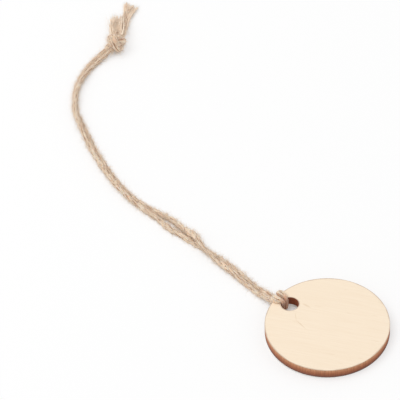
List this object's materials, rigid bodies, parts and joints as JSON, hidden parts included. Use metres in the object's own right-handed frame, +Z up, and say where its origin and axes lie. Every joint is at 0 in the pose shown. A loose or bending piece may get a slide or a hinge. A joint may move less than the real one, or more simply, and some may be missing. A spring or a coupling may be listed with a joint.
{
  "type": "bottle tag",
  "caption": "Round plywood tag hung on a doubled twine loop: a lark's head hitch holds the twine in a hole near the rim, and an overhand knot with frayed tails closes the loop.",
  "frame": {"origin": "middle of the disc's box, at the table that the tag lies on", "axes": "+Z up, +Y from the middle of the disc through its hole, +X to the right of that"},
  "size_m": [0.1063, 0.1672, 0.0062],
  "materials": {
    "face_wood": "pale bare veneer, laser cut",
    "core_wood": "bare, burnt at the cut edge",
    "twine": "natural two-ply jute, hairy"
  },
  "bodies": {
    "tag": {"face_veneer": "face_wood", "core_ply": "core_wood", "back_veneer": "face_wood", "twine_hitch": "twine"},
    "near_twine": {"near_strand_a": "twine", "near_strand_b": "twine"},
    "far_twine": {"far_strand_a": "twine", "far_strand_b": "twine", "twine_knot": "twine", "long_tail": "twine", "short_tail": "twine"}
  },
  "joints": [
    {"name": "twine_lift", "type": "hinge", "parent": "tag", "child": "near_twine", "pos_m": [0, 0.02295, 0.0021], "axis": [1, 0, 0], "range_deg": [0, 90]},
    {"name": "twine_swing", "type": "hinge", "parent": "near_twine", "child": "far_twine", "pos_m": [0.0063, 0.05095, 0.00155], "axis": [0, 0, 1], "range_deg": [-45, 45]}
  ]
}
